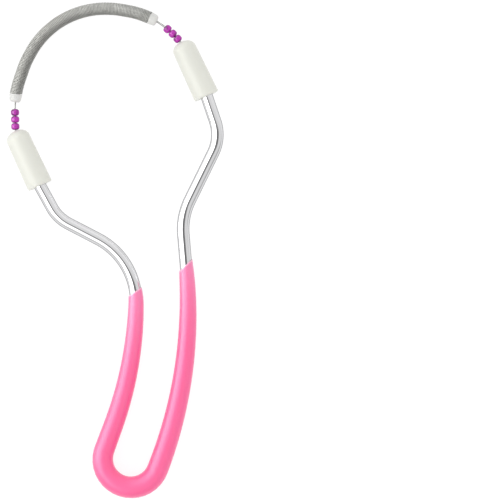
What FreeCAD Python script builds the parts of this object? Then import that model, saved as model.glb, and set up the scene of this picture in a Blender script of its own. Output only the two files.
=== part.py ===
import FreeCAD, Part
import math
import os

V = FreeCAD.Vector
UP = V(0, 0, 1)

# Bent steel rod: the frame of the tool, lying in one flat plane.
# Its length runs from the corners of the handle's closed end up to the right cap's foot.
frame_length = 150.4
rod_diameter = 4.76
handle_end_radius = 10.8

# Corners of the rod, x and y as shares of the frame's length, from the left cap down
# round the handle and up to the right cap
rod_corner_shares = [
    (-0.1905, 0.1620),
    (-0.1469, 0.0824),
    (0.0552, -0.0226),
    (0.0505, -0.2972),
    (-0.0645, -0.6097),
    (0.0911, -0.6031),
    (0.2041, -0.3125),
    (0.1702, 0.0858),
    (0.2693, 0.2879),
    (0.2347, 0.3903),
]

# Radius of the bend at each of those corners
rod_bend_radii = [11.5, 15.1, 27.4, 143.0, handle_end_radius,
                  handle_end_radius, 171.0, 24.8, 15.9, 11.5]

# Soft grip dipped over the handle: its wall swells towards the handle's closed end. Both its
# rims lie along the slanted level of the bath, through a point given like the corners, and
# each rim slants a little more than that level, because the vinyl ran down the leg's left side.
grip_wall_at_rim = 0.3
grip_wall_at_end = 1.85
grip_swell_power = 0.6
grip_section_spacing = 5.0
dip_level_shares = (0.0545, -0.1031)
dip_slope_degrees = 27.6
left_rim_slope_degrees = 34.0
right_rim_slope_degrees = 42.0

# Caps over the rod's two ends
cap_length = 23.1
cap_base_diameter = 9.9
cap_shoulder_diameter = 9.2
cap_dome_radius = 7.0
cap_nose_radius = 3.2
cap_base_round = 0.5
cap_lean_left_degrees = 24.8
cap_lean_right_degrees = 25.2
cap_gap_to_bend = 0.45
cap_nose_wall = 4.0
cap_bore_chamfer = 0.3
cap_mouth_diameter = 1.9
cap_mouth_depth = 1.6
cap_bore_clearance = 0.02

# Crimps that hold the cable's ends inside the caps
crimp_diameter = 2.2
crimp_length = 3.0
crimp_end_play = 0.4
crimp_side_play = 0.15
crimp_bore_clearance = 0.02
crimp_edge = 0.25

# Cable through caps, beads, bushes and coil
cable_diameter = 0.8
cable_hole_clearance = 0.1
cable_mouth_bend_depth = 0.6
cable_mouth_bend_radius = 3.0

# Bow of the cable between the two cap tips: corners as shares of the straight line
# between the tips, first along it and then away from it
bow_corner_shares = [
    (0.0915, 0.1726),
    (0.2215, 0.2939),
    (0.4999, 0.4754),
    (0.7805, 0.3162),
    (0.9533, 0.1775),
]
bow_bend_radius = 32.4

# Beads between each cap and its bush
bead_diameter = 3.2
bead_length = 2.6
bead_round = 1.0
bead_bore_clearance = 0.075
bead_gap = 0.1
bead_count = 3
first_bead_gap = 0.4

# Bushes that close the coil's two ends
bush_diameter = 4.9
bush_outer_diameter = 4.4
bush_length = 3.1
bush_round = 1.0
bush_plug_length = 2.5
bush_plug_play = 0.3
bush_bore_clearance = 0.25
left_bush_from_tip = 11.05
right_bush_from_tip = 12.15

# Close-wound coil: one wire of square section stood on its corner. The turns are a hair
# narrower than the wire is thick, so that they stay apart on the inner side of the bow.
coil_diameter = 4.9
coil_wire_diameter = 0.5
coil_wire_relief = 0.035
coil_pitch = 0.55
coil_stations_per_turn = 10

# Heights and directions that follow from the sizes
rod_radius = rod_diameter / 2
cable_radius = cable_diameter / 2
plane_height = max(cap_base_diameter / 2, rod_radius + grip_wall_at_end)
coil_inner_radius = coil_diameter / 2 - coil_wire_diameter
crimp_seat = cap_length - cap_nose_wall
rod_depth = crimp_seat - crimp_length - crimp_end_play


def lean_direction(degrees):
    """Direction that points up the page and leans to the left."""
    lean = math.radians(degrees)
    return V(-math.sin(lean), math.cos(lean), 0)


def flat_point(x_share, y_share):
    """Point at the middle of the rod's thickness, from its shares of the frame's length."""
    return V(x_share * frame_length, y_share * frame_length, plane_height)


def bend_reaches(corners, radii):
    """How far each bend reaches along its two legs, shortened where two bends share a leg."""
    legs = [b - a for a, b in zip(corners, corners[1:])]
    turns = [a.getAngle(b) for a, b in zip(legs, legs[1:])]
    wanted = [0] + [radius * math.tan(turn / 2) for radius, turn in zip(radii, turns)] + [0]
    room = [1.0] * len(corners)
    for i, leg in enumerate(legs):
        both = wanted[i] + wanted[i + 1]
        if both > 0.99 * leg.Length:
            share = 0.99 * leg.Length / both
            room[i] = min(room[i], share)
            room[i + 1] = min(room[i + 1], share)
    return [reach * share for reach, share in zip(wanted, room)]


class Route:
    """Flat path of straight runs joined by tangent arcs."""

    def __init__(self, corners, radii):
        reaches = bend_reaches(corners, radii)
        self.edges = []
        last = corners[0]
        for i in range(1, len(corners) - 1):
            before = (corners[i] - corners[i - 1]).normalize()
            after = (corners[i + 1] - corners[i]).normalize()
            arc_start = corners[i] - before * reaches[i]
            arc_end = corners[i] + after * reaches[i]
            half_turn = before.getAngle(after) / 2
            radius = reaches[i] / math.tan(half_turn)
            inward = (after - before).normalize()
            arc_middle = corners[i] + inward * (radius / math.cos(half_turn) - radius)
            self.edges.append(Part.LineSegment(last, arc_start).toShape())
            self.edges.append(Part.Arc(arc_start, arc_middle, arc_end).toShape())
            last = arc_end
        self.edges.append(Part.LineSegment(last, corners[-1]).toShape())
        self.length = sum(edge.Length for edge in self.edges)

    def at(self, distance):
        """Point and direction at a distance from the start."""
        left = distance
        for edge in self.edges:
            if left <= edge.Length or edge is self.edges[-1]:
                parameter = edge.getParameterByLength(left)
                return edge.valueAt(parameter), edge.tangentAt(parameter)
            left -= edge.Length


def section(curve, centre, direction):
    """Round section across a direction in the flat plane, begun on its left-hand side."""
    wire = Part.Wire(curve.toShape())
    turn = FreeCAD.Rotation(UP.cross(direction), UP, direction, "ZXY")
    wire.Placement = FreeCAD.Placement(centre, turn)
    return wire


def ring(radius, centre, direction):
    return section(Part.Circle(V(0, 0, 0), UP, radius), centre, direction)


def round_bar(edges, radius):
    """Solid of round section along a path of edges."""
    start = edges[0]
    first = start.FirstParameter
    end_ring = ring(radius, start.valueAt(first), start.tangentAt(first))
    return Part.Wire(edges).makePipeShell([end_ring], True, False)


class Profile:
    """Half section of a turned piece: radius and height, closed back to its first point."""

    def __init__(self, radius, height):
        self.start = V(radius, 0, height)
        self.last = self.start
        self.edges = []

    def line(self, radius, height):
        end = V(radius, 0, height)
        self.edges.append(Part.LineSegment(self.last, end).toShape())
        self.last = end

    def arc(self, middle_radius, middle_height, radius, height):
        end = V(radius, 0, height)
        middle = V(middle_radius, 0, middle_height)
        self.edges.append(Part.Arc(self.last, middle, end).toShape())
        self.last = end

    def quarter(self, corner_radius, corner_height, radius, height):
        """Quarter round to a point, bulging towards a corner."""
        corner = V(corner_radius, 0, corner_height)
        centre = self.last + V(radius, 0, height) - corner
        middle = centre + (corner - centre) * math.sqrt(0.5)
        self.arc(middle.x, middle.z, radius, height)

    def turned(self):
        self.line(self.start.x, self.start.z)
        return Part.Face(Part.Wire(self.edges)).revolve(V(0, 0, 0), UP, 360)


def placed(shape, point, direction):
    shape.Placement = FreeCAD.Placement(point, FreeCAD.Rotation(UP, direction))
    return shape


def make_cap():
    """Bullet-shaped cap: base at the origin, tip up, bored for the rod, the crimp and the cable."""
    base = cap_base_diameter / 2
    shoulder = cap_shoulder_diameter / 2
    bore = rod_radius + cap_bore_clearance
    pocket = crimp_diameter / 2 + crimp_side_play
    hole = cable_radius + cable_hole_clearance
    mouth = cap_mouth_diameter / 2

    dome_centre = cap_length - cap_dome_radius
    nose_offset = shoulder - cap_nose_radius
    nose_rise = math.sqrt((cap_dome_radius - cap_nose_radius) ** 2 - nose_offset ** 2)
    nose_centre = dome_centre + nose_rise
    join = math.atan2(nose_rise, nose_offset)
    rim = math.acos(mouth / cap_dome_radius)
    dome_middle = (join + rim) / 2

    profile = Profile(bore + cap_bore_chamfer, 0)
    profile.line(base - cap_base_round, 0)
    profile.quarter(base, 0, base, cap_base_round)
    profile.line(shoulder, nose_centre)
    profile.arc(nose_offset + cap_nose_radius * math.cos(join / 2),
                nose_centre + cap_nose_radius * math.sin(join / 2),
                cap_dome_radius * math.cos(join),
                dome_centre + cap_dome_radius * math.sin(join))
    profile.arc(cap_dome_radius * math.cos(dome_middle),
                dome_centre + cap_dome_radius * math.sin(dome_middle),
                mouth, dome_centre + cap_dome_radius * math.sin(rim))
    profile.line(hole, cap_length - cap_mouth_depth)
    profile.line(hole, crimp_seat)
    profile.line(pocket, crimp_seat)
    profile.line(pocket, rod_depth)
    profile.line(bore, rod_depth)
    profile.line(bore, cap_bore_chamfer)
    return profile.turned()


def make_crimp():
    """Small sleeve squeezed on the cable's end."""
    outer = crimp_diameter / 2
    profile = Profile(cable_radius + crimp_bore_clearance, 0)
    profile.line(outer - crimp_edge, 0)
    profile.line(outer, crimp_edge)
    profile.line(outer, crimp_length - crimp_edge)
    profile.line(outer - crimp_edge, crimp_length)
    profile.line(cable_radius + crimp_bore_clearance, crimp_length)
    return profile.turned()


def make_bead():
    """Barrel-shaped bead with round shoulders, centred on the origin."""
    half = bead_length / 2
    widest = bead_diameter / 2
    bore = cable_radius + bead_bore_clearance
    profile = Profile(bore, -half)
    profile.line(widest - bead_round, -half)
    profile.quarter(widest, -half, widest, -half + bead_round)
    profile.line(widest, half - bead_round)
    profile.quarter(widest, half, widest - bead_round, half)
    profile.line(bore, half)
    return profile.turned()


def make_bush():
    """End bush: rounded outer end down, the coil's seat at the origin, the plug above it."""
    seat = bush_diameter / 2
    end = bush_outer_diameter / 2
    plug = coil_inner_radius - bush_plug_play
    bore = cable_radius + bush_bore_clearance
    profile = Profile(bore, -bush_length)
    profile.line(end - bush_round, -bush_length)
    profile.quarter(end, -bush_length, end, -bush_length + bush_round)
    profile.line(seat, 0)
    profile.line(plug, 0)
    profile.line(plug, bush_plug_length)
    profile.line(bore, bush_plug_length)
    return profile.turned()


def make_coil(bow, start, end):
    """Wire wound turn by turn round the bow, flat-sided from one station to the next."""
    half_height = coil_wire_diameter / 2
    half_width = half_height - coil_wire_relief / 2
    run = end - start - coil_wire_diameter
    stations = coil_stations_per_turn * round(run / coil_pitch)
    sections = []
    for i in range(stations + 1):
        middle, direction = bow.at(start + half_height + run * i / stations)
        angle = math.radians(360 * i / coil_stations_per_turn)
        outward = UP.cross(direction) * math.cos(angle) + UP * math.sin(angle)
        centre = middle + outward * (coil_diameter / 2 - half_height)
        corners = [centre + outward * half_height, centre + direction * half_width,
                   centre - outward * half_height, centre - direction * half_width]
        sections.append(Part.makePolygon(corners + corners[:1]))
    return Part.makeLoft(sections, True, True)


def grip_wall(depth, full_depth):
    """Wall of the grip at a distance into the dip."""
    swell = (grip_wall_at_end - grip_wall_at_rim) * (depth / full_depth) ** grip_swell_power
    return grip_wall_at_rim + swell


def square_to_slope(degrees):
    """Direction up the page, square to a line that rises to the right by an angle."""
    return V(-math.sin(math.radians(degrees)), math.cos(math.radians(degrees)), 0)


def slanted_rim(radius, centre, direction, slope_degrees):
    """Oval where a round sleeve is cut off along a slope."""
    upward = square_to_slope(slope_degrees)
    normal = upward if upward.dot(direction) > 0 else -upward
    stretched = radius / normal.dot(direction)
    return section(Part.Ellipse(V(0, 0, 0), stretched, radius), centre, normal)


def make_grip(rod_route, rod):
    """Dipped grip: a swelling sleeve round the rod, ended by a slanted rim on both legs."""
    level = flat_point(*dip_level_shares)
    level_normal = square_to_slope(dip_slope_degrees)
    step = 0.05
    distances = [i * step for i in range(int(rod_route.length / step))]
    dipped = [d for d in distances if (rod_route.at(d)[0] - level).dot(level_normal) < 0]
    start, end = dipped[0], dipped[-1]
    half = (end - start) / 2
    rim_radius = rod_radius + grip_wall_at_rim
    count = math.ceil((half - rod_diameter) / grip_section_spacing)
    sections = [slanted_rim(rim_radius, *rod_route.at(start), left_rim_slope_degrees)]
    for i in range(-count, count + 1):
        depth = half - (half - rod_diameter) * abs(i) / count
        distance = start + depth if i < 0 else end - depth
        sections.append(ring(rod_radius + grip_wall(depth, half), *rod_route.at(distance)))
    sections.append(slanted_rim(rim_radius, *rod_route.at(end), right_rim_slope_degrees))
    return Part.makeLoft(sections, True, False).cut(rod)


def save(shape, node):
    shape.exportStep("parts/" + node + ".step")


def main():
    os.makedirs("parts", exist_ok=True)
    left_axis = lean_direction(cap_lean_left_degrees)
    right_axis = lean_direction(cap_lean_right_degrees)
    rod_points = [flat_point(*shares) for shares in rod_corner_shares]
    left_base = rod_points[0] + left_axis * cap_gap_to_bend
    right_base = rod_points[-1] + right_axis * cap_gap_to_bend
    left_tip = left_base + left_axis * cap_length
    right_tip = right_base + right_axis * cap_length

    rod_points.insert(0, left_base + left_axis * rod_depth)
    rod_points.append(right_base + right_axis * rod_depth)
    rod_route = Route(rod_points, rod_bend_radii)
    rod = round_bar(rod_route.edges, rod_radius)
    save(rod, "frame_rod")
    save(make_grip(rod_route, rod), "handle_grip")

    save(placed(make_cap(), left_base, left_axis), "left_cap")
    save(placed(make_cap(), right_base, right_axis), "right_cap")
    crimp_base = crimp_seat - crimp_length
    save(placed(make_crimp(), left_base + left_axis * crimp_base, left_axis), "left_crimp")
    save(placed(make_crimp(), right_base + right_axis * crimp_base, right_axis), "right_crimp")

    chord = right_tip - left_tip
    away = UP.cross(chord)
    bow_points = [left_tip + chord * along + away * off for along, off in bow_corner_shares]
    left_mouth = left_tip - left_axis * cable_mouth_bend_depth
    right_mouth = right_tip - right_axis * cable_mouth_bend_depth
    left_end = left_base + left_axis * crimp_base
    right_end = right_base + right_axis * crimp_base
    bow_radii = [cable_mouth_bend_radius] + [bow_bend_radius] * len(bow_points)
    bow_radii.append(cable_mouth_bend_radius)
    bow = Route([left_end, left_mouth] + bow_points + [right_mouth, right_end], bow_radii)
    save(round_bar(bow.edges, cable_radius), "cable")

    left_tip_at = (left_tip - left_end).Length
    right_tip_at = bow.length - (right_tip - right_end).Length
    bead_pitch = bead_length + bead_gap
    for number in range(bead_count):
        from_tip = first_bead_gap + bead_length / 2 + number * bead_pitch
        save(placed(make_bead(), *bow.at(left_tip_at + from_tip)), "left_bead_%d" % (number + 1))
        save(placed(make_bead(), *bow.at(right_tip_at - from_tip)), "right_bead_%d" % (number + 1))

    coil_start = left_tip_at + left_bush_from_tip + bush_length
    coil_end = right_tip_at - right_bush_from_tip - bush_length
    start_point, start_direction = bow.at(coil_start)
    end_point, end_direction = bow.at(coil_end)
    save(placed(make_bush(), start_point, start_direction), "left_bush")
    save(placed(make_bush(), end_point, -end_direction), "right_bush")
    save(make_coil(bow, coil_start, coil_end), "coil_spring")


main()
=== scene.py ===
import math

import bmesh
import bpy
from bpy.props import FloatProperty, FloatVectorProperty, IntProperty, PointerProperty
from mathutils import Matrix, Vector


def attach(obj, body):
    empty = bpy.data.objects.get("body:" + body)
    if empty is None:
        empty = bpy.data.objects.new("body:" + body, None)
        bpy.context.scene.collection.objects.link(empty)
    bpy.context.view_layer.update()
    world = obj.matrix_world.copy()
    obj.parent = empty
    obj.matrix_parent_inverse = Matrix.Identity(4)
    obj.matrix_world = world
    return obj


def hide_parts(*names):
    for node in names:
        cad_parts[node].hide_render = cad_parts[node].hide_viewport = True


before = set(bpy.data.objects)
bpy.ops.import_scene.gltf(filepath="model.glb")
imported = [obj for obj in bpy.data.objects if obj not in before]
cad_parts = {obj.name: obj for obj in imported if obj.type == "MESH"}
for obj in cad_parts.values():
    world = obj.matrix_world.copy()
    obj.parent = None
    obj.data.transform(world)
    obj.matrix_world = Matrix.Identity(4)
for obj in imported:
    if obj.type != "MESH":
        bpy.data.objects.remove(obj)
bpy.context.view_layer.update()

bl_info = {
    "name": "Hair removal spring",
    "version": (1, 0, 0),
    "blender": (4, 5, 0),
    "location": "3D View > Sidebar > Spring tool",
    "description": "Bent rod, dipped grip, caps, beads, cable and coil of a hair removal spring",
    "category": "Object",
}

MM = 0.001
UP = Vector((0, 0, 1))
BODY = "frame"
SAME_POINT = 1e-7
SHORTEST_RUN = 0.001 * MM
SMOOTH_ANGLE = math.radians(40)

# Corners of the rod as shares of the frame's length, and the bend there in millimetres,
# from the left cap down round the handle and up to the right cap
ROD_CORNERS = [
    (-0.1905, 0.1620, 11.5),
    (-0.1469, 0.0824, 15.1),
    (0.0552, -0.0226, 27.4),
    (0.0505, -0.2972, 143.0),
    (-0.0645, -0.6097, 10.8),
    (0.0911, -0.6031, 10.8),
    (0.2041, -0.3125, 171.0),
    (0.1702, 0.0858, 24.8),
    (0.2693, 0.2879, 15.9),
    (0.2347, 0.3903, 11.5),
]

# The level that the handle is dipped to: a point as shares of the frame's length
DIP_LEVEL = (0.0545, -0.1031)

# Corners of the bow as shares of the line between the cap tips: along it, and away from it
BOW_CORNERS = [
    (0.0915, 0.1726),
    (0.2215, 0.2939),
    (0.4999, 0.4754),
    (0.7805, 0.3162),
    (0.9533, 0.1775),
]


def size(name, description, millimetres):
    """A length of the tool, kept in metres."""
    return FloatProperty(
        name=name, description=description, default=millimetres * MM,
        min=0.0, precision=5, unit="LENGTH", subtype="DISTANCE",
    )


def lean(name, description, degrees):
    """An angle of the tool, kept in radians."""
    return FloatProperty(
        name=name, description=description, default=math.radians(degrees),
        unit="ROTATION", subtype="ANGLE",
    )


def colour(name, description, red, green, blue):
    """A colour of one finish."""
    return FloatVectorProperty(
        name=name, description=description, default=(red, green, blue),
        min=0.0, max=1.0, size=3, subtype="COLOR",
    )


class ToolSizes(bpy.types.PropertyGroup):
    """Sizes of the tool's own pieces."""

    frame_length: size("Frame length", "Handle's closed end up to the right cap's foot", 150.4)
    rod_diameter: size("Rod diameter", "Thickness of the bent steel rod", 4.76)
    grip_wall_at_rim: size("Grip wall at the rim", "Thickness of the dip at its rim", 0.3)
    grip_wall_at_end: size("Grip wall at the end", "Thickness at the handle's closed end", 1.85)
    dip_slope: lean("Dip slope", "Slant of the bath's level across the handle", 27.6)
    left_rim_slope: lean("Left rim slope", "Slant of the grip's rim on the left leg", 34.0)
    right_rim_slope: lean("Right rim slope", "Slant of the grip's rim on the right leg", 42.0)
    cap_length: size("Cap length", "Length of each white cap", 23.1)
    cap_base_diameter: size("Cap base diameter", "Thickness of a cap at its base", 9.9)
    cap_shoulder_diameter: size("Cap shoulder diameter", "Thickness below its dome", 9.2)
    cap_lean_left: lean("Left cap lean", "Lean of the left cap", 24.8)
    cap_lean_right: lean("Right cap lean", "Lean of the right cap", 25.2)
    cable_diameter: size("Cable diameter", "Thickness of the twisted cable", 0.8)
    bow_bend_radius: size("Bow bend radius", "Bend of the bow at its corners", 32.4)
    bead_diameter: size("Bead diameter", "Thickness of a bead", 3.2)
    bead_length: size("Bead length", "Length of a bead along the cable", 2.6)
    bead_gap: size("Bead gap", "Space between two beads", 0.1)
    bush_length: size("Bush length", "Part of a bush outside the coil", 3.1)
    left_bush_from_tip: size("Left bush", "Left cap's tip to its bush", 11.05)
    right_bush_from_tip: size("Right bush", "Right cap's tip to its bush", 12.15)
    coil_diameter: size("Coil diameter", "Outer thickness of the coil", 4.9)
    coil_wire_diameter: size("Coil wire", "Thickness of the coil's wire", 0.5)
    coil_pitch: size("Coil pitch", "From one turn of the coil to the next", 0.55)
    cable_strands: IntProperty(
        name="Cable strands", description="Outer strands of the cable", default=6, min=3
    )


class ToolColours(bpy.types.PropertyGroup):
    """Colours of the tool's finishes."""

    rod: colour("Rod", "Polished steel of the rod", 0.72, 0.72, 0.73)
    grip: colour("Grip", "Pink vinyl where the dip is thick", 1.0, 0.08, 0.30)
    grip_thin: colour("Grip, thin", "Pink vinyl near the rim, where it is thin", 1.0, 0.19, 0.43)
    grip_lip: colour("Grip, lip", "Pink vinyl on the lip of its rim", 1.0, 0.45, 0.62)
    cap: colour("Caps", "Moulded creamy white plastic", 0.75, 0.755, 0.69)
    bush: colour("Bushes", "Moulded white plastic at the coil's ends", 0.69, 0.69, 0.67)
    bead: colour("Beads", "Purple glossy plastic", 0.66, 0.08, 0.57)
    coil: colour("Coil", "Drawn wire of the coil", 0.44, 0.44, 0.42)
    cable: colour("Cable", "Thin steel strands", 0.50, 0.50, 0.49)
    crimp: colour("Crimps", "Plated sleeves inside the caps", 0.60, 0.60, 0.57)


def lean_direction(angle):
    """Direction up the page that leans to the left."""
    return Vector((-math.sin(angle), math.cos(angle), 0))


def bend_reaches(corners, bends):
    """How far each bend reaches along its legs, shortened where two bends share a leg."""
    usable = 0.99
    legs = [b - a for a, b in zip(corners, corners[1:])]
    turns = [a.angle(b) for a, b in zip(legs, legs[1:])]
    wanted = [0.0] + [bend * math.tan(turn / 2) for bend, turn in zip(bends, turns)] + [0.0]
    room = [1.0] * len(corners)
    for i, leg in enumerate(legs):
        both = wanted[i] + wanted[i + 1]
        if both > usable * leg.length:
            share = usable * leg.length / both
            room[i] = min(room[i], share)
            room[i + 1] = min(room[i + 1], share)
    return [reach * share for reach, share in zip(wanted, room)]


class Run:
    """One stretch of a route: straight, or an arc where its turn isn't zero."""

    def __init__(self, start, direction, length, turn=0.0):
        self.start = start
        self.direction = direction
        self.length = length
        self.turn = turn

    def centre(self):
        return self.start + UP.cross(self.direction) * (self.length / self.turn)

    def at(self, distance):
        if not self.turn:
            return self.start + self.direction * distance, self.direction
        turned = Matrix.Rotation(self.turn * distance / self.length, 3, "Z")
        centre = self.centre()
        return centre + turned @ (self.start - centre), turned @ self.direction


class Route:
    """Flat path of straight runs and tangent bends."""

    def __init__(self, corners, bends):
        reaches = bend_reaches(corners, bends)
        self.runs = []
        last = corners[0]
        for i in range(1, len(corners) - 1):
            before = (corners[i] - corners[i - 1]).normalized()
            after = (corners[i + 1] - corners[i]).normalized()
            bend_start = corners[i] - before * reaches[i]
            angle = before.angle(after)
            radius = reaches[i] / math.tan(angle / 2)
            turn = math.copysign(angle, before.cross(after).z)
            self.runs.append(Run(last, before, (bend_start - last).length))
            self.runs.append(Run(bend_start, before, radius * angle, turn))
            last = corners[i] + after * reaches[i]
        to_end = corners[-1] - last
        self.runs.append(Run(last, to_end.normalized(), to_end.length))
        self.length = sum(run.length for run in self.runs)

    def at(self, distance):
        """Point and direction at a distance from the start."""
        for run in self.runs[:-1]:
            if distance <= run.length:
                return run.at(distance)
            distance -= run.length
        return self.runs[-1].at(distance)

    def place(self, distance, backwards=False):
        """Matrix that stands an upright piece on the route, its top along the way."""
        point, direction = self.at(distance)
        return standing(point, -direction if backwards else direction)


def standing(point, direction):
    """Matrix that turns a piece's upright axis to a direction in the flat plane."""
    turned = Matrix((UP.cross(direction), UP, direction)).transposed().to_4x4()
    return Matrix.Translation(point) @ turned


class Layout:
    """Where each piece lies, worked out from the sizes."""

    cap_gap_to_bend = 0.45 * MM
    cap_nose_wall = 4.0 * MM
    crimp_length = 3.0 * MM
    crimp_end_play = 0.4 * MM
    mouth_bend_depth = 0.6 * MM
    mouth_bend_radius = 3.0 * MM
    first_bead_gap = 0.4 * MM
    bead_count = 3

    def __init__(self, sizes):
        self.height = sizes.cap_base_diameter / 2
        self.rod_radius = sizes.rod_diameter / 2
        self.cable_radius = sizes.cable_diameter / 2
        self.crimp_seat = sizes.cap_length - self.cap_nose_wall
        self.rod_depth = self.crimp_seat - self.crimp_length - self.crimp_end_play
        self.frame_length = sizes.frame_length
        self.lay_frame(sizes)
        self.lay_bow(sizes)

    def flat_point(self, across, along):
        return Vector((across * self.frame_length, along * self.frame_length, self.height))

    def lay_frame(self, sizes):
        corners = [self.flat_point(across, along) for across, along, _ in ROD_CORNERS]
        left_axis = lean_direction(sizes.cap_lean_left)
        right_axis = lean_direction(sizes.cap_lean_right)
        left_base = corners[0] + left_axis * self.cap_gap_to_bend
        right_base = corners[-1] + right_axis * self.cap_gap_to_bend
        self.caps = {"left": (left_base, left_axis), "right": (right_base, right_axis)}
        ends = [left_base + left_axis * self.rod_depth, right_base + right_axis * self.rod_depth]
        bends = [bend * MM for _, _, bend in ROD_CORNERS]
        self.rod = Route([ends[0]] + corners + [ends[1]], bends)

    def lay_bow(self, sizes):
        left_base, left_axis = self.caps["left"]
        right_base, right_axis = self.caps["right"]
        left_tip = left_base + left_axis * sizes.cap_length
        right_tip = right_base + right_axis * sizes.cap_length
        chord = right_tip - left_tip
        away = UP.cross(chord)
        bow = [left_tip + chord * along + away * off for along, off in BOW_CORNERS]
        held = self.crimp_seat - self.crimp_length
        left_end = left_base + left_axis * held
        right_end = right_base + right_axis * held
        corners = [left_end, left_tip - left_axis * self.mouth_bend_depth] + bow
        corners += [right_tip - right_axis * self.mouth_bend_depth, right_end]
        bends = [self.mouth_bend_radius] + [sizes.bow_bend_radius] * len(bow)
        self.bow = Route(corners, bends + [self.mouth_bend_radius])
        self.left_tip_at = (left_tip - left_end).length
        self.right_tip_at = self.bow.length - (right_tip - right_end).length
        self.coil_start = self.left_tip_at + sizes.left_bush_from_tip + sizes.bush_length
        self.coil_end = self.right_tip_at - sizes.right_bush_from_tip - sizes.bush_length


def select_only(*pieces):
    bpy.ops.object.select_all(action="DESELECT")
    for piece in pieces:
        piece.select_set(True)
    bpy.context.view_layer.objects.active = pieces[0] if pieces else None


def new_piece(name):
    """The primitive that was just added, named, with its place moved into its mesh."""
    piece = bpy.context.active_object
    piece.name = piece.data.name = name
    bpy.ops.object.transform_apply(location=True, rotation=True, scale=True)
    return piece


def edit(piece, kind="VERT"):
    """Edit mode with everything selected."""
    select_only(piece)
    bpy.ops.object.mode_set(mode="EDIT")
    bpy.ops.mesh.select_mode(type=kind)
    bpy.ops.mesh.select_all(action="SELECT")


def pick(piece, kind, test):
    """In edit mode, selects only the edges or faces that pass a test."""
    bpy.ops.mesh.select_mode(type=kind)
    bpy.ops.mesh.select_all(action="DESELECT")
    mesh = bmesh.from_edit_mesh(piece.data)
    for element in mesh.edges if kind == "EDGE" else mesh.faces:
        if test(element):
            element.select_set(True)
    mesh.select_flush_mode()
    bmesh.update_edit_mesh(piece.data)


def middle(edge):
    return (edge.verts[0].co + edge.verts[1].co) / 2


def tidy_faces(piece):
    """Merged, pointing outwards and shaded smooth."""
    edit(piece)
    bpy.ops.mesh.remove_doubles(threshold=SAME_POINT)
    bpy.ops.mesh.normals_make_consistent(inside=False)
    bpy.ops.object.mode_set(mode="OBJECT")
    select_only(piece)
    bpy.ops.object.shade_smooth_by_angle(angle=SMOOTH_ANGLE)


def turned_piece(name, outline, sides):
    """Piece turned about its upright axis from a closed half section of (radius, height)."""
    mesh = bpy.data.meshes.new(name)
    count = len(outline)
    loop = [(i, (i + 1) % count) for i in range(count)]
    mesh.from_pydata([(radius, 0, height) for radius, height in outline], loop, [])
    piece = bpy.data.objects.new(name, mesh)
    bpy.context.scene.collection.objects.link(piece)
    edit(piece)
    bpy.ops.mesh.spin(steps=sides, angle=math.tau, center=(0, 0, 0), axis=UP)
    bpy.ops.object.mode_set(mode="OBJECT")
    tidy_faces(piece)
    return piece


def arc(radius_at, height_at, radius, first, last, steps):
    """Points of an arc in a half section, its angles in degrees from the outward side."""
    angles = [math.radians(first + (last - first) * i / steps) for i in range(steps + 1)]
    return [(radius_at + radius * math.cos(a), height_at + radius * math.sin(a)) for a in angles]


def swept_bar(name, route, radius, sides, bend_step):
    """Round bar: a disc extruded along each straight run and spun round each bend."""
    start, direction = route.at(0)
    select_only()
    bpy.ops.mesh.primitive_circle_add(
        vertices=sides, radius=radius, fill_type="NGON", location=start,
        rotation=standing(start, direction).to_euler(),
    )
    bar = new_piece(name)
    edit(bar, "FACE")
    for run in route.runs:
        if run.turn:
            steps = math.ceil(abs(run.turn) / bend_step)
            bpy.ops.mesh.spin(steps=steps, angle=-run.turn, center=run.centre(), axis=UP)
        elif run.length > SHORTEST_RUN:
            along = run.direction * run.length
            bpy.ops.mesh.extrude_region_move(TRANSFORM_OT_translate={"value": along})
    bpy.ops.object.mode_set(mode="OBJECT")
    tidy_faces(bar)
    return bar


def lay_along(piece, route, start):
    """Bends a straight upright piece so that its axis follows a route from a distance on."""
    for vertex in piece.data.vertices:
        point, direction = route.at(start + vertex.co.z)
        vertex.co = point + UP.cross(direction) * vertex.co.x + UP * vertex.co.y


def straight_tube(name, radius, length, sides, rings):
    """Open tube standing on the origin, with evenly spaced rings."""
    select_only()
    bpy.ops.mesh.primitive_cylinder_add(
        vertices=sides, radius=radius, depth=length, end_fill_type="NOTHING",
        location=(0, 0, length / 2),
    )
    tube = new_piece(name)
    edit(tube)
    pick(tube, "EDGE", lambda edge: abs(edge.verts[0].co.z - edge.verts[1].co.z) > length / 2)
    bpy.ops.mesh.subdivide(number_cuts=rings)
    bpy.ops.object.mode_set(mode="OBJECT")
    return tube


def screw(piece, name, angle, rise, steps, iterations=1):
    """Sweeps a flat outline up round the upright axis."""
    sweep = piece.modifiers.new(name, "SCREW")
    sweep.axis = "Z"
    sweep.angle = angle
    sweep.screw_offset = rise
    sweep.iterations = iterations
    sweep.steps = sweep.render_steps = steps
    bpy.ops.object.modifier_apply(modifier=sweep.name)


def close_ends(piece, length, within):
    """A face over each open end of a piece that stands on the origin."""
    edit(piece)
    for end in (0, length):
        pick(piece, "EDGE",
             lambda edge: edge.is_boundary and abs(middle(edge).z - end) < within)
        bpy.ops.mesh.edge_face_add()
    bpy.ops.object.mode_set(mode="OBJECT")


def new_mark(piece, name):
    """A number at each point of the mesh, which its finish reads."""
    return piece.data.attributes.new(name, "FLOAT", "POINT").data


def join(piece, *others):
    select_only(piece, *others)
    bpy.ops.object.join()
    return piece


def copy_of(piece, name):
    """A second piece like the first, with a mesh of its own."""
    copy = piece.copy()
    copy.data = piece.data.copy()
    copy.name = copy.data.name = name
    bpy.context.scene.collection.objects.link(copy)
    return copy


def fit(piece, body, node, material):
    """Finish, body and the solid that the piece stands for."""
    piece.data.materials.clear()
    piece.data.materials.append(material)
    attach(piece, body)
    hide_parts(node)


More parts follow.
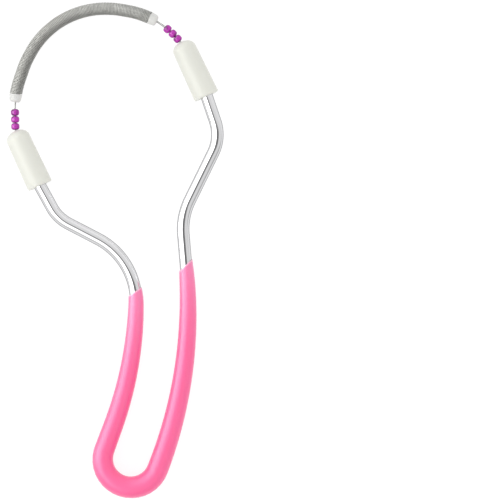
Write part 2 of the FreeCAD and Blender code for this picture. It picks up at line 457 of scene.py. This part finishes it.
class Shade:
    """A shader value that ordinary arithmetic works on."""

    def __init__(self, finish, socket):
        self.finish = finish
        self.socket = socket

    def maths(self, operation, first, second):
        return self.finish.add("ShaderNodeMath", {"operation": operation}, {0: first, 1: second})

    def __add__(self, other):
        return self.maths("ADD", self, other)

    def __radd__(self, other):
        return self.maths("ADD", other, self)

    def __sub__(self, other):
        return self.maths("SUBTRACT", self, other)

    def __rsub__(self, other):
        return self.maths("SUBTRACT", other, self)

    def __mul__(self, other):
        return self.maths("MULTIPLY", self, other)

    def __rmul__(self, other):
        return self.maths("MULTIPLY", other, self)

    def __truediv__(self, other):
        return self.maths("DIVIDE", self, other)

    def __rtruediv__(self, other):
        return self.maths("DIVIDE", other, self)

    def other_output(self, name):
        """Another output of the same node."""
        return Shade(self.finish, self.socket.node.outputs[name])


class Finish:
    """Nodes of a material or of the world, added one at a time."""

    def __init__(self, owner):
        owner.use_nodes = True
        self.owner = owner
        self.tree = owner.node_tree
        self.tree.nodes.clear()

    def add(self, kind, settings, sockets, output=0):
        """Adds a node: its settings first, then the values or links of its sockets."""
        node = self.tree.nodes.new(kind)
        for name, value in settings.items():
            setattr(node, name, value)
        for name, value in sockets.items():
            if isinstance(value, Shade):
                self.tree.links.new(value.socket, node.inputs[name])
            else:
                node.inputs[name].default_value = value
        return Shade(self, node.outputs[output]) if node.outputs else None

    def noise(self, scale, detail=2.0, stretch=(1, 1, 1)):
        """Noise over the piece, about one patch in each 1/scale of a metre."""
        place = self.add("ShaderNodeTexCoord", {}, {}, "Object")
        place = self.add("ShaderNodeMapping", {}, {"Vector": place, "Scale": stretch})
        return self.add(
            "ShaderNodeTexNoise", {},
            {"Vector": place, "Scale": scale, "Detail": detail, "Roughness": 0.5}, "Fac",
        )

    def mark(self, name):
        """A number that the mesh carries at each point."""
        return self.add("ShaderNodeAttribute", {"attribute_name": name}, {}, "Fac")

    def range(self, value, low, high):
        """0 where the value is low and 1 where it is high, and smooth between."""
        return self.add(
            "ShaderNodeMapRange", {"interpolation_type": "SMOOTHSTEP"},
            {"Value": value, "From Min": low, "From Max": high},
        )

    def mix(self, share, first, second):
        """Colour between two colours."""
        # By number, because the node's colour sockets share their names with its others
        first_colour, second_colour, result = 6, 7, 2
        return self.add(
            "ShaderNodeMix", {"data_type": "RGBA"},
            {"Factor": share, first_colour: rgba(first), second_colour: rgba(second)}, result,
        )

    def bump(self, height, depth, normal=None):
        sockets = {"Height": height, "Distance": depth, "Strength": 1.0}
        if normal:
            sockets["Normal"] = normal
        return self.add("ShaderNodeBump", {}, sockets)

    def principled(self, **sockets):
        """The surface, with each socket's name written with underscores."""
        named = {name.replace("_", " "): value for name, value in sockets.items()}
        surface = self.add("ShaderNodeBsdfPrincipled", {}, named)
        self.add("ShaderNodeOutputMaterial", {}, {"Surface": surface})
        return self.owner


def rgba(value):
    return value if isinstance(value, Shade) else (*value, 1.0)


def grey(level):
    return (level, level, level, 1.0)


def darker(paint, share):
    """A colour with only a share of its light."""
    return [share * part for part in paint]


def material(name):
    return Finish(bpy.data.materials.new(name))


def polished_rod(colours):
    """Bright polished steel, with faint drawing marks and handling haze."""
    finish = material("polished rod")
    haze = finish.range(finish.noise(90), 0.35, 0.75)
    fine = finish.noise(2600, 3.0)
    return finish.principled(
        Base_Color=finish.mix(haze * 0.35, colours.rod, darker(colours.rod, 0.9)),
        Metallic=1.0,
        Roughness=0.06 + haze * 0.03 + fine * 0.03,
        # The dark specular tint dims the reflection at grazing angles: painted shade along the
        # rod's edges.
        Specular_Tint=(0.12, 0.12, 0.13, 1.0),
        Normal=finish.bump(finish.noise(140, 1.0), 0.010 * MM),
    )


def pink_vinyl(colours):
    """Soft glossy vinyl, slightly uneven as a dip leaves it."""
    finish = material("pink vinyl")
    cloud = finish.noise(60)
    thick = finish.range(finish.mark("thickness") + (cloud - 0.5) * 0.2, 0.0, 0.6)
    body = finish.mix(thick, colours.grip_thin, colours.grip)
    past_lip = finish.range(finish.mark("rim"), 0.2, 0.8)
    ripple = finish.noise(120, 1.0)
    pores = finish.noise(1900)
    return finish.principled(
        Base_Color=finish.mix(past_lip, colours.grip_lip, body),
        Roughness=0.34 + pores * 0.10,
        Subsurface_Weight=0.25,
        Subsurface_Radius=(1.0, 0.35, 0.45),
        Subsurface_Scale=1.5 * MM,
        Specular_IOR_Level=0.7,
        Coat_Weight=0.9 + cloud * 0.1,
        Coat_IOR=1.65,
        Coat_Roughness=0.52,
        Normal=finish.bump(ripple, 0.04 * MM, finish.bump(pores, 0.004 * MM)),
    )


def moulded_white(name, white):
    """Satin moulded plastic with a fine spark texture."""
    finish = material(name)
    cloud = finish.range(finish.noise(160), 0.35, 0.7)
    grain = finish.noise(4200)
    return finish.principled(
        Base_Color=finish.mix(cloud * 0.3, white, darker(white, 0.95)),
        Roughness=0.36 + grain * 0.12,
        Subsurface_Weight=0.15,
        Subsurface_Radius=(1.0, 0.95, 0.8),
        Subsurface_Scale=1.0 * MM,
        Normal=finish.bump(grain, 0.003 * MM),
    )


def bead_plastic(colours):
    """Glossy purple plastic with faint swirls, and painted shade on the shoulders where the beads
    pinch together.
    """
    finish = material("bead plastic")
    swirl = finish.range(finish.noise(700, stretch=(1, 0.35, 1)), 0.35, 0.7)
    # Painted shade: the colour darkens towards each end of a bead, where shade falls in the pinch
    # between beads; the swirls are the plastic's own mottle.
    shoulder = finish.range(finish.mark("shoulder"), 0.35, 0.85)
    swirl_and_pinch_shade = finish.range(swirl * 0.7 + shoulder * 0.35, 0.2, 1.0)
    return finish.principled(
        Base_Color=finish.mix(swirl_and_pinch_shade, colours.bead, darker(colours.bead, 0.26)),
        Roughness=0.14 + swirl * 0.05,
        Specular_IOR_Level=1.0,
        Coat_Weight=1.0,
        Coat_IOR=1.25,
        Coat_Tint=(0.72, 0.38, 0.72, 1.0),
        Normal=finish.bump(swirl, 0.004 * MM),
    )


def drawn_wire(name, wire_colour, roughness):
    """Drawn wire: fine grain and patchy oil haze."""
    finish = material(name)
    haze = finish.range(finish.noise(300), 0.3, 0.7)
    grain = finish.noise(6000)
    return finish.principled(
        Base_Color=finish.mix(haze * 0.4, wire_colour, darker(wire_colour, 0.8)),
        Metallic=1.0,
        Roughness=roughness + haze * 0.08 + grain * 0.06,
        # The grey specular tint dims the reflection at grazing angles: painted shade along the
        # wire's edges.
        Specular_Tint=grey(0.3),
        Normal=finish.bump(grain, 0.002 * MM),
    )


def tool(context):
    """Sizes, colours and the layout that follows from the sizes."""
    sizes = context.scene.spring_tool_sizes
    return sizes, context.scene.spring_tool_colours, Layout(sizes)


class SPRING_TOOL_OT_frame_rod(bpy.types.Operator):
    """Bends the round steel rod from one cap round the handle to the other cap"""

    bl_idname = "spring_tool.frame_rod"
    bl_label = "Frame rod"

    sides = 56
    bend_step = math.radians(3)

    def execute(self, context):
        _, colours, layout = tool(context)
        rod = swept_bar("Rod", layout.rod, layout.rod_radius, self.sides, self.bend_step)
        fit(rod, BODY, "frame_rod", polished_rod(colours))
        return {"FINISHED"}


class SPRING_TOOL_OT_handle_grip(bpy.types.Operator):
    """Dips the handle: a swelling skin round the rod, cut off at the slanted level of the bath"""

    bl_idname = "spring_tool.handle_grip"
    bl_label = "Handle grip"

    sides = 56
    ring_step = 1.1 * MM
    over_rim = 5.0 * MM
    swell_power = 0.6
    rim_round = 0.2 * MM
    rim_steps = 4
    level_step = 0.05 * MM
    near_plane = 0.001 * MM
    near_rim = range(-50, 51)
    near_rim_step = 0.1 * MM

    def dipped_stretch(self, layout, level, normal):
        """Distances along the rod where its middle goes below the level and comes out of it."""
        step = self.level_step
        steps = range(int(layout.rod.length / step))
        below = [i * step for i in steps if (layout.rod.at(i * step)[0] - level).dot(normal) < 0]
        return below[0], below[-1]

    def execute(self, context):
        sizes, colours, layout = tool(context)
        level = layout.flat_point(*DIP_LEVEL)
        start, end = self.dipped_stretch(layout, level, lean_direction(sizes.dip_slope))
        half = (end - start) / 2
        length = 2 * (half + self.over_rim)
        rings = int(length / self.ring_step)
        swell = sizes.grip_wall_at_end - sizes.grip_wall_at_rim

        skin = straight_tube("Grip", layout.rod_radius, length, self.sides, rings)
        lining = straight_tube("Grip_lining", layout.rod_radius, length, self.sides, rings)
        new_mark(lining, "thickness")
        for vertex, mark in zip(skin.data.vertices, new_mark(skin, "thickness")):
            depth = max(half - abs(vertex.co.z - length / 2), 0)
            mark.value = (depth / half) ** self.swell_power
            wall = sizes.grip_wall_at_rim + swell * mark.value
            vertex.co.xy *= 1 + wall / layout.rod_radius
        for tube in (skin, lining):
            lay_along(tube, layout.rod, start - self.over_rim)
        grip = join(skin, lining)

        edit(grip)
        rims = [(-1, start, sizes.left_rim_slope), (1, end, sizes.right_rim_slope)]
        between_legs = (layout.rod.at(start)[0].x + layout.rod.at(end)[0].x) / 2
        rim_radius = layout.rod_radius + sizes.grip_wall_at_rim / 2
        for side, at, slope in rims:
            self.cut_rim(grip, layout, side, between_legs, at, slope, rim_radius)
        bpy.ops.object.mode_set(mode="OBJECT")
        tidy_faces(grip)
        planes = [(layout.rod.at(at)[0], lean_direction(slope)) for _, at, slope in rims]
        for vertex, mark in zip(grip.data.vertices, new_mark(grip, "rim")):
            place, normal = planes[vertex.co.x > between_legs]
            mark.value = (place - vertex.co).dot(normal) / MM
        fit(grip, BODY, "handle_grip", pink_vinyl(colours))
        return {"FINISHED"}

    def cut_rim(self, grip, layout, side, between_legs, at, slope, rim_radius):
        """Cuts one leg of the grip off along its slope, closes it and rounds its outer edge."""
        place, normal = layout.rod.at(at)[0], lean_direction(slope)
        around = [layout.rod.at(at + i * self.near_rim_step)[0] for i in self.near_rim]

        def on_leg(point):
            return (point.x - between_legs) * side > 0

        def on_outer_rim(vertex):
            off_plane = abs((vertex.co - place).dot(normal))
            if not on_leg(vertex.co) or off_plane > self.near_plane:
                return False
            return min((vertex.co - point).length for point in around) > rim_radius

        pick(grip, "FACE", lambda face: on_leg(face.calc_center_median()))
        bpy.ops.mesh.bisect(plane_co=place, plane_no=normal, clear_outer=True)
        pick(grip, "EDGE", lambda edge: edge.is_boundary and on_leg(middle(edge)))
        bpy.ops.mesh.bridge_edge_loops()
        pick(grip, "EDGE", lambda edge: all(on_outer_rim(vertex) for vertex in edge.verts))
        bpy.ops.mesh.bevel(offset=self.rim_round, segments=self.rim_steps, affect="EDGES")


class SPRING_TOOL_OT_caps(bpy.types.Operator):
    """Moulds one bullet-shaped cap, copies it, and sets both on the rod's ends"""

    bl_idname = "spring_tool.caps"
    bl_label = "Caps"

    dome_radius = 7.0 * MM
    nose_radius = 3.2 * MM
    base_round = 0.5 * MM
    mouth_radius = 0.95 * MM
    mouth_depth = 1.6 * MM
    lip_round = 0.15 * MM
    lip_room_degrees = 2
    bore_clearance = 0.02 * MM
    bore_chamfer = 0.3 * MM
    pocket_radius = 1.25 * MM
    hole_clearance = 0.1 * MM
    side_rings = 8
    sides = 72

    def outline(self, sizes, layout):
        """Half section: up the outside from the foot, in at the mouth and down the bore."""
        base = sizes.cap_base_diameter / 2
        shoulder = sizes.cap_shoulder_diameter / 2
        bore = layout.rod_radius + self.bore_clearance
        hole = layout.cable_radius + self.hole_clearance
        dome_centre = sizes.cap_length - self.dome_radius
        nose_offset = shoulder - self.nose_radius
        nose_rise = math.sqrt((self.dome_radius - self.nose_radius) ** 2 - nose_offset ** 2)
        nose_centre = dome_centre + nose_rise
        join_at = math.degrees(math.atan2(nose_rise, nose_offset))
        mouth_at = math.degrees(math.acos(self.mouth_radius / self.dome_radius))
        dome_end = mouth_at - self.lip_room_degrees
        lip_top = dome_centre + self.dome_radius * math.sin(math.radians(mouth_at))
        lip_centre = lip_top - self.lip_round
        side_rise = nose_centre - self.base_round
        points = [(bore + self.bore_chamfer, 0)]
        points += arc(base - self.base_round, self.base_round, self.base_round, -90, 0, 6)
        for i in range(1, self.side_rings):
            points.append((base + (shoulder - base) * i / self.side_rings,
                           self.base_round + side_rise * i / self.side_rings))
        points += arc(nose_offset, nose_centre, self.nose_radius, 0, join_at, 10)
        points += arc(0, dome_centre, self.dome_radius, join_at, dome_end, 12)[1:]
        points += arc(self.mouth_radius, lip_centre, self.lip_round, 60, 180, 4)
        points += [
            (hole, sizes.cap_length - self.mouth_depth),
            (hole, layout.crimp_seat),
            (self.pocket_radius, layout.crimp_seat),
            (self.pocket_radius, layout.rod_depth),
            (bore, layout.rod_depth),
            (bore, self.bore_chamfer),
        ]
        return points

    def execute(self, context):
        sizes, colours, layout = tool(context)
        white = moulded_white("cap plastic", colours.cap)
        left = turned_piece("Cap_left", self.outline(sizes, layout), self.sides)
        right = copy_of(left, "Cap_right")
        for cap, side in ((left, "left"), (right, "right")):
            cap.data.transform(standing(*layout.caps[side]))
            fit(cap, BODY, side + "_cap", white)
        return {"FINISHED"}


class SPRING_TOOL_OT_cable(bpy.types.Operator):
    """Twists the thin steel cable from round strands and lays it along the bow"""

    bl_idname = "spring_tool.cable"
    bl_label = "Cable"

    lay_length = 5.5 * MM
    steps_per_lay = 20
    points_per_strand = 6
    end_margin = 0.1 * MM

    def execute(self, context):
        sizes, colours, layout = tool(context)
        strands = sizes.cable_strands
        half_slot = math.pi / strands
        strand = layout.cable_radius * math.sin(half_slot) / (1 + math.sin(half_slot))
        turns = round(layout.bow.length / self.lay_length)
        select_only()
        bpy.ops.mesh.primitive_circle_add(
            vertices=strands * self.points_per_strand, radius=layout.cable_radius
        )
        cable = new_piece("Cable")
        centre = layout.cable_radius - strand
        for vertex in cable.data.vertices:
            around = math.atan2(vertex.co.y, vertex.co.x) % (2 * half_slot) - half_slot
            across = centre * math.sin(around)
            reach = centre * math.cos(around) + math.sqrt(max(strand ** 2 - across ** 2, 0))
            vertex.co.xy *= reach / layout.cable_radius
        steps = turns * self.steps_per_lay
        screw(cable, "twist", math.tau * turns, layout.bow.length, steps)
        close_ends(cable, layout.bow.length, self.end_margin)
        lay_along(cable, layout.bow, 0)
        tidy_faces(cable)
        steel = drawn_wire("cable strands", colours.cable, roughness=0.3)
        fit(cable, BODY, "cable", steel)
        return {"FINISHED"}


class SPRING_TOOL_OT_beads(bpy.types.Operator):
    """Shapes one bead, copies it, and threads three beads by each cap"""

    bl_idname = "spring_tool.beads"
    bl_label = "Beads"

    sides = 48
    shoulder = 1.0 * MM
    shoulder_steps = 8
    bore_clearance = 0.075 * MM
    mouth_round = 0.12 * MM
    mouth_steps = 3
    mouth_margin = 0.01 * MM
    end_share = 0.9
    facing_along = 0.999

    def shape_bead(self, sizes, layout):
        """Cylinder with rounded shoulders and a rounded mouth at each end of its hole."""
        radius = sizes.bead_diameter / 2
        half = sizes.bead_length / 2
        bore = layout.cable_radius + self.bore_clearance
        select_only()
        bpy.ops.mesh.primitive_cylinder_add(
            vertices=self.sides, radius=radius, depth=sizes.bead_length
        )
        bead = new_piece("Bead")

        def at_end(edge):
            return abs(middle(edge).z) > self.end_share * half

        def at_mouth(edge):
            return at_end(edge) and middle(edge).xy.length < bore + self.mouth_margin

        edit(bead)
        pick(bead, "EDGE", at_end)
        bpy.ops.mesh.bevel(offset=self.shoulder, segments=self.shoulder_steps, affect="EDGES")
        pick(bead, "FACE", lambda face: abs(face.normal.z) > self.facing_along)
        bpy.ops.mesh.inset(thickness=radius - self.shoulder - bore)
        bpy.ops.mesh.bridge_edge_loops()
        pick(bead, "EDGE", at_mouth)
        bpy.ops.mesh.bevel(offset=self.mouth_round, segments=self.mouth_steps, affect="EDGES")
        bpy.ops.object.mode_set(mode="OBJECT")
        tidy_faces(bead)
        # A number from the bead's middle to its ends, by which its finish paints shade into the
        # pinches between beads.
        for vertex, mark in zip(bead.data.vertices, new_mark(bead, "shoulder")):
            mark.value = abs(vertex.co.z) / half
        return bead

    def execute(self, context):
        sizes, colours, layout = tool(context)
        pattern = self.shape_bead(sizes, layout)
        purple = bead_plastic(colours)
        pitch = sizes.bead_length + sizes.bead_gap
        for i in range(layout.bead_count):
            from_tip = layout.first_bead_gap + sizes.bead_length / 2 + i * pitch
            for side, distance in (("left", layout.left_tip_at + from_tip),
                                   ("right", layout.right_tip_at - from_tip)):
                bead = copy_of(pattern, "Bead_%s_%d" % (side, i + 1))
                bead.data.transform(layout.bow.place(distance))
                node = "%s_bead_%d" % (side, i + 1)
                fit(bead, node + "_body", node, purple)
        bpy.data.objects.remove(pattern)
        return {"FINISHED"}


class SPRING_TOOL_OT_bushes(bpy.types.Operator):
    """Turns one white bush, copies it, and plugs both ends of the coil"""

    bl_idname = "spring_tool.bushes"
    bl_label = "Bushes"

    outer_radius = 2.2 * MM
    end_round = 1.0 * MM
    plug_length = 2.5 * MM
    plug_play = 0.3 * MM
    bore_clearance = 0.25 * MM
    edge_round = 0.12 * MM
    sides = 56

    def outline(self, sizes, layout):
        """Half section: from the bore out and up to the coil's seat, then in round the plug."""
        seat = sizes.coil_diameter / 2
        plug = seat - sizes.coil_wire_diameter - self.plug_play
        bore = layout.cable_radius + self.bore_clearance
        edge = self.edge_round
        points = [(bore + edge, -sizes.bush_length)]
        points += arc(self.outer_radius - self.end_round, self.end_round - sizes.bush_length,
                      self.end_round, -90, 0, 8)
        points += arc(seat - edge, -edge, edge, 0, 90, 3)
        points += [
            (plug, 0),
            (plug, self.plug_length),
            (bore, self.plug_length),
            (bore, edge - sizes.bush_length),
        ]
        return points

    def execute(self, context):
        sizes, colours, layout = tool(context)
        white = moulded_white("bush plastic", colours.bush)
        left = turned_piece("Bush_left", self.outline(sizes, layout), self.sides)
        right = copy_of(left, "Bush_right")
        left.data.transform(layout.bow.place(layout.coil_start))
        right.data.transform(layout.bow.place(layout.coil_end, backwards=True))
        fit(left, BODY, "left_bush", white)
        fit(right, BODY, "right_bush", white)
        return {"FINISHED"}


class SPRING_TOOL_OT_coil(bpy.types.Operator):
    """Winds the coil turn by turn from round wire and bends it along the bow"""

    bl_idname = "spring_tool.coil"
    bl_label = "Coil"

    wire_sides = 8
    steps_per_turn = 28
    end_margin = 1.5

    def execute(self, context):
        sizes, colours, layout = tool(context)
        wire = sizes.coil_wire_diameter / 2
        length = layout.coil_end - layout.coil_start - 2 * wire
        turns = round(length / sizes.coil_pitch)
        select_only()
        bpy.ops.mesh.primitive_circle_add(
            vertices=self.wire_sides, radius=wire, rotation=(math.pi / 2, 0, 0),
            location=(sizes.coil_diameter / 2 - wire, 0, 0),
        )
        coil = new_piece("Coil")
        screw(coil, "wind", math.tau, length / turns, self.steps_per_turn, turns)
        close_ends(coil, length, self.end_margin * wire)
        lay_along(coil, layout.bow, layout.coil_start + wire)
        tidy_faces(coil)
        steel = drawn_wire("coil wire", colours.coil, roughness=0.64)
        fit(coil, BODY, "coil_spring", steel)
        return {"FINISHED"}


class SPRING_TOOL_OT_crimps(bpy.types.Operator):
    """Gives the two crimps inside the caps their plated finish"""

    bl_idname = "spring_tool.crimps"
    bl_label = "Crimps"

    def execute(self, context):
        _, colours, _ = tool(context)
        plated = drawn_wire("plated crimp", colours.crimp, roughness=0.34)
        for node in ("left_crimp", "right_crimp"):
            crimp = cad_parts[node]
            crimp.data.materials.clear()
            crimp.data.materials.append(plated)
        return {"FINISHED"}


class StageSettings(bpy.types.PropertyGroup):
    """Floor, light and camera."""

    camera_height: size("Camera height", "Camera straight above the table", 1200)
    view_width: size("View width", "Width of the picture on the tool's plane", 192)
    view_x: size("View, across", "Middle of the picture, across", 51.77)
    view_y: size("View, along", "Middle of the picture, along", 0.1)
    lamp_power: FloatProperty(
        name="Softbox power", description="Power of the large softbox", default=0.8,
        min=0.0, unit="POWER",
    )
    room_light: FloatProperty(
        name="Room light", description="Level of the light from all round", default=1.0, min=0.0
    )


def floor_finish():
    """Pale floor that stays white in the picture and keeps the tool's soft shadow."""
    plain_grey, seen_grey, seen_glow = 0.8, 0.22, 0.86
    finish = material("pale floor")
    camera = finish.add("ShaderNodeLightPath", {}, {}, "Is Camera Ray")
    seen = camera + camera.other_output("Is Glossy Ray")
    seen = seen + camera.other_output("Is Transmission Ray")
    plain = finish.add("ShaderNodeBsdfDiffuse", {}, {"Color": grey(plain_grey)})
    shaded = finish.add("ShaderNodeBsdfDiffuse", {}, {"Color": grey(seen_grey)})
    glow = finish.add("ShaderNodeEmission", {}, {"Color": grey(1), "Strength": seen_glow})
    lit = finish.add("ShaderNodeAddShader", {}, {0: shaded, 1: glow})
    both = finish.add("ShaderNodeMixShader", {}, {0: seen, 1: plain, 2: lit})
    finish.add("ShaderNodeOutputMaterial", {}, {"Surface": both})
    return finish.owner


class Studio:
    """What metal sees round the tool: a level overhead, to which each side adds or from which
    it takes. Its edges are the slopes of the view, sideways over upwards, between which it
    sets in, and those of the patch's two ends are squared."""

    overhead = 1.34
    left_adds = 2.6
    left_edges = (0.12, 0.5)
    left_low_adds = 1.2
    left_low_edges = (2.0, 6.0)
    right_takes = 0.41
    right_edges = (-0.36, -0.26)
    right_low_takes = 0.2
    right_low_edges = (2.0, 8.0)
    patch_takes = 0.71
    patch_left_edges = (-0.27, -0.13)
    patch_right_edges = (0.42, 0.58)
    patch_end_edges = (0.001, 0.024)
    ahead_adds = 0.2
    ahead_edges = (0.3, 1.6)
    ahead_hides_left = 0.7
    behind_takes = 0.42
    behind_edges = (0.2, 1.8)
    least_rise = 0.02


def studio_light(finish):
    """The level of the light that metal sees, each way that it looks."""
    way = finish.add("ShaderNodeTexCoord", {}, {}, "Generated")
    across = finish.add("ShaderNodeSeparateXYZ", {}, {0: way}, "X")
    upward = finish.add("ShaderNodeMath", {"operation": "MAXIMUM"},
                        {0: across.other_output("Z"), 1: Studio.least_rise})
    slant = across / upward
    along = across.other_output("Y") / upward
    ahead = finish.range(along, *Studio.ahead_edges)
    behind = finish.range(0 - along, *Studio.behind_edges)
    left = finish.range(0 - slant, *Studio.left_edges) * Studio.left_adds
    left = left + finish.range(0 - slant, *Studio.left_low_edges) * Studio.left_low_adds
    left = left * (1 - behind) * (1 - ahead * Studio.ahead_hides_left)
    right = finish.range(slant, *Studio.right_edges) * Studio.right_takes
    right = right + finish.range(slant, *Studio.right_low_edges) * Studio.right_low_takes
    patch = finish.range(slant, *Studio.patch_left_edges)
    patch = patch * (1 - finish.range(slant, *Studio.patch_right_edges))
    patch = patch * (1 - finish.range(along * along, *Studio.patch_end_edges))
    level = Studio.overhead + left - right - patch * Studio.patch_takes
    return level * (1 - behind * Studio.behind_takes) + ahead * Studio.ahead_adds


def room(brightness):
    """Plain light from all round; metal also sees a white studio with a dark patch overhead."""
    finish = Finish(bpy.data.worlds.new("studio"))

    def light(level):
        return finish.add("ShaderNodeBackground", {}, {"Color": grey(1), "Strength": level})

    camera = finish.add("ShaderNodeLightPath", {}, {}, "Is Camera Ray")
    glossy = camera.other_output("Is Glossy Ray")
    white_seen = camera + camera.other_output("Is Transmission Ray")
    lit = {0: glossy, 1: light(brightness), 2: light(studio_light(finish))}
    both = finish.add("ShaderNodeMixShader", {}, lit)
    both = finish.add("ShaderNodeMixShader", {}, {0: white_seen, 1: both, 2: light(1.0)})
    finish.add("ShaderNodeOutputWorld", {}, {"Surface": both})
    return finish.owner


class SPRING_TOOL_OT_stage(bpy.types.Operator):
    """Sets the pale floor, the soft studio light and the camera straight above"""

    bl_idname = "spring_tool.stage"
    bl_label = "Stage"

    floor_width = 6
    softbox_place = (-0.58, 0.02, 0.27)
    softbox_width = 0.3
    softbox_length = 0.5
    film_width = 36  # millimetres, where the other lengths are metres
    farthest_seen = 20

    def softbox(self, power):
        """Large lamp at the left, turned to the middle of the tool."""
        lamp = bpy.data.lights.new("Softbox", "AREA")
        lamp.shape = "RECTANGLE"
        lamp.size = self.softbox_width
        lamp.size_y = self.softbox_length
        lamp.energy = power
        box = bpy.data.objects.new("Softbox", lamp)
        box.location = self.softbox_place
        box.rotation_euler = (-Vector(self.softbox_place)).to_track_quat("-Z", "Y").to_euler()
        box.visible_camera = False
        bpy.context.scene.collection.objects.link(box)

    def execute(self, context):
        stage = context.scene.spring_tool_stage
        select_only()
        bpy.ops.mesh.primitive_plane_add(size=self.floor_width)
        floor = new_piece("Floor")
        floor.data.materials.append(floor_finish())

        self.softbox(stage.lamp_power)
        context.scene.world = room(stage.room_light)

        lens = bpy.data.cameras.new("Camera")
        lens.sensor_width = self.film_width
        plane = context.scene.spring_tool_sizes.cap_base_diameter / 2
        lens.lens = lens.sensor_width * (stage.camera_height - plane) / stage.view_width
        lens.clip_end = self.farthest_seen
        camera = bpy.data.objects.new("Camera", lens)
        camera.location = (stage.view_x, stage.view_y, stage.camera_height)
        context.scene.collection.objects.link(camera)
        context.scene.camera = camera
        context.scene.view_settings.view_transform = "Standard"
        return {"FINISHED"}


class SPRING_TOOL_PT_panel(bpy.types.Panel):
    """The tool's pieces, sizes and colours"""

    bl_idname = "SPRING_TOOL_PT_panel"
    bl_label = "Hair removal spring"
    bl_space_type = "VIEW_3D"
    bl_region_type = "UI"
    bl_category = "Spring tool"

    def draw(self, context):
        column = self.layout.column()
        for operator in OPERATORS:
            column.operator(operator.bl_idname)
        for group in GROUPS:
            values = getattr(context.scene, group)
            for name in values.bl_rna.properties.keys():
                if name not in ("rna_type", "name"):
                    column.prop(values, name)


OPERATORS = [
    SPRING_TOOL_OT_frame_rod,
    SPRING_TOOL_OT_handle_grip,
    SPRING_TOOL_OT_caps,
    SPRING_TOOL_OT_cable,
    SPRING_TOOL_OT_beads,
    SPRING_TOOL_OT_bushes,
    SPRING_TOOL_OT_coil,
    SPRING_TOOL_OT_crimps,
    SPRING_TOOL_OT_stage,
]
GROUPS = {
    "spring_tool_sizes": ToolSizes,
    "spring_tool_colours": ToolColours,
    "spring_tool_stage": StageSettings,
}


def register():
    for group in GROUPS.values():
        bpy.utils.register_class(group)
    for cls in OPERATORS + [SPRING_TOOL_PT_panel]:
        bpy.utils.register_class(cls)
    for name, group in GROUPS.items():
        setattr(bpy.types.Scene, name, PointerProperty(type=group))


def unregister():
    for name in GROUPS:
        delattr(bpy.types.Scene, name)
    for cls in [SPRING_TOOL_PT_panel] + OPERATORS[::-1] + list(GROUPS.values())[::-1]:
        bpy.utils.unregister_class(cls)


def main():
    register()
    bpy.ops.spring_tool.frame_rod()
    bpy.ops.spring_tool.handle_grip()
    bpy.ops.spring_tool.caps()
    bpy.ops.spring_tool.cable()
    bpy.ops.spring_tool.beads()
    bpy.ops.spring_tool.bushes()
    bpy.ops.spring_tool.coil()
    bpy.ops.spring_tool.crimps()
    bpy.ops.spring_tool.stage()


if __name__ == "__main__":
    main()
